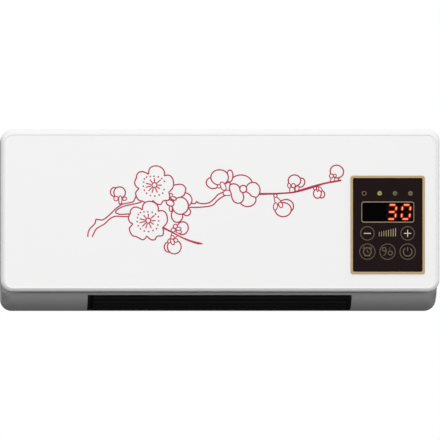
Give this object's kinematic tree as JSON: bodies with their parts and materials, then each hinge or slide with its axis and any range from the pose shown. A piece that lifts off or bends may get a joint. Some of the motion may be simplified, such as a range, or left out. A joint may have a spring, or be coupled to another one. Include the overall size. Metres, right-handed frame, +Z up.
{
  "type": "wall fan heater",
  "caption": "Shallow wall-hung fan heater with an overhanging white cover, a curved louvred outlet underneath, a top intake grille and a glossy touch panel with a digital display.",
  "frame": {"origin": "on the wall plane, midway between the entries of the two keyholes that it hangs by", "axes": "+X to the right as seen from the front, +Y into the wall, +Z up; the front faces -Y"},
  "size_m": [0.455, 0.1155, 0.188],
  "materials": {
    "white_cover": "gloss",
    "grey_housing": "fine texture",
    "grey_grille": "fine texture",
    "black_outlet": "satin",
    "dark_duct": "satin",
    "zinc_plate": "zinc plated",
    "bright_shaft": "ground",
    "sintered_bronze": "sintered",
    "black_rubber": "matt",
    "core_steel": "laminated",
    "copper_coil": "taped winding",
    "cast_bracket": "die cast",
    "element_aluminium": "bare",
    "ptc_ceramic": "ceramic",
    "bakelite": "moulded",
    "fuse_ceramic": "ceramic",
    "gilt_bezel": "metallised gilt",
    "panel_black": "mirror gloss",
    "display_black": "gloss",
    "led_red": "lit",
    "led_olive": "clear tinted",
    "spring_brass": "plated",
    "board_green": "solder mask",
    "part_black": "moulded",
    "relay_blue": "moulded",
    "capacitor_yellow": "epoxy box",
    "terminal_green": "moulded",
    "ribbon_grey": "insulation",
    "lead_white": "silicone insulation",
    "lead_red": "insulation",
    "screw_steel": "zinc plated"
  },
  "bodies": {
    "housing": {"rear_housing": "grey_housing", "front_cover": "white_cover", "intake_grille": "grey_grille", "outlet_frame": "black_outlet", "scroll_duct": "dark_duct", "front_duct": "dark_duct", "motor_end_plate": "zinc_plate", "bearing_end_plate": "zinc_plate", "shaft_bush": "sintered_bronze", "bush_rubber": "black_rubber", "motor_stator": "core_steel", "motor_coil": "copper_coil", "motor_front_bracket": "cast_bracket", "motor_rear_bracket": "cast_bracket", "motor_bushes": "sintered_bronze", "motor_screws": "screw_steel", "ptc_bars": "element_aluminium", "ptc_stones": "ptc_ceramic", "ptc_fins": "element_aluminium", "ptc_side_rails": "element_aluminium", "ptc_end_caps": "bakelite", "ptc_terminals": "zinc_plate", "thermal_cutout": "bakelite", "thermal_fuse": "fuse_ceramic", "control_bezel": "gilt_bezel", "control_face": "panel_black", "display_module": "display_black", "digit_segments": "led_red", "indicator_lamps": "led_olive", "touch_springs": "spring_brass", "display_board": "board_green", "buzzer": "part_black", "power_board": "board_green", "relays": "relay_blue", "capacitor": "capacitor_yellow", "transformer": "part_black", "terminal_block": "terminal_green", "board_ribbon": "ribbon_grey", "heater_leads": "lead_white", "motor_leads": "lead_red", "cable_gland": "black_rubber", "gland_nut": "part_black", "cover_screws": "screw_steel", "duct_screws": "screw_steel", "board_screws": "screw_steel"},
    "fan": {"impeller": "element_aluminium", "impeller_stub_shaft": "bright_shaft", "motor_rotor": "core_steel", "motor_shaft": "bright_shaft"},
    "louvre_1_body": {"louvre_1": "black_outlet"},
    "louvre_2_body": {"louvre_2": "black_outlet"},
    "louvre_3_body": {"louvre_3": "black_outlet"},
    "louvre_4_body": {"louvre_4": "black_outlet"},
    "louvre_5_body": {"louvre_5": "black_outlet"},
    "tie_bar": {"louvre_tie_bar": "black_outlet"}
  },
  "joints": [
    {"name": "fan_spin", "type": "hinge", "parent": "housing", "child": "fan", "pos_m": [0, -0.05, -0.05], "axis": [1, 0, 0], "continuous": true},
    {"name": "louvre_1_tilt", "type": "hinge", "parent": "housing", "child": "louvre_1_body", "pos_m": [0, -0.07927, -0.13905], "axis": [1, 0, 0], "range_deg": [-10, 20]},
    {"name": "louvre_2_tilt", "type": "hinge", "parent": "housing", "child": "louvre_2_body", "pos_m": [0, -0.07111, -0.1433], "axis": [1, 0, 0], "range_deg": [-10, 20]},
    {"name": "louvre_3_tilt", "type": "hinge", "parent": "housing", "child": "louvre_3_body", "pos_m": [0, -0.06186, -0.14609], "axis": [1, 0, 0], "range_deg": [-10, 20]},
    {"name": "louvre_4_tilt", "type": "hinge", "parent": "housing", "child": "louvre_4_body", "pos_m": [0, -0.05228, -0.14799], "axis": [1, 0, 0], "range_deg": [-10, 20]},
    {"name": "louvre_5_tilt", "type": "hinge", "parent": "housing", "child": "louvre_5_body", "pos_m": [0, -0.04256, -0.14924], "axis": [1, 0, 0], "range_deg": [-10, 20]},
    {"name": "tie_bar_turn", "type": "hinge", "parent": "louvre_1_body", "child": "tie_bar", "pos_m": [-0.133, -0.07652, -0.13429], "axis": [1, 0, 0], "range_deg": [-20, 10]}
  ],
  "couplings": [
    {"joint": "louvre_2_tilt", "follows": "louvre_1_tilt", "ratio": 1},
    {"joint": "louvre_3_tilt", "follows": "louvre_1_tilt", "ratio": 1},
    {"joint": "louvre_4_tilt", "follows": "louvre_1_tilt", "ratio": 1},
    {"joint": "louvre_5_tilt", "follows": "louvre_1_tilt", "ratio": 1},
    {"joint": "tie_bar_turn", "follows": "louvre_1_tilt", "ratio": -1}
  ]
}
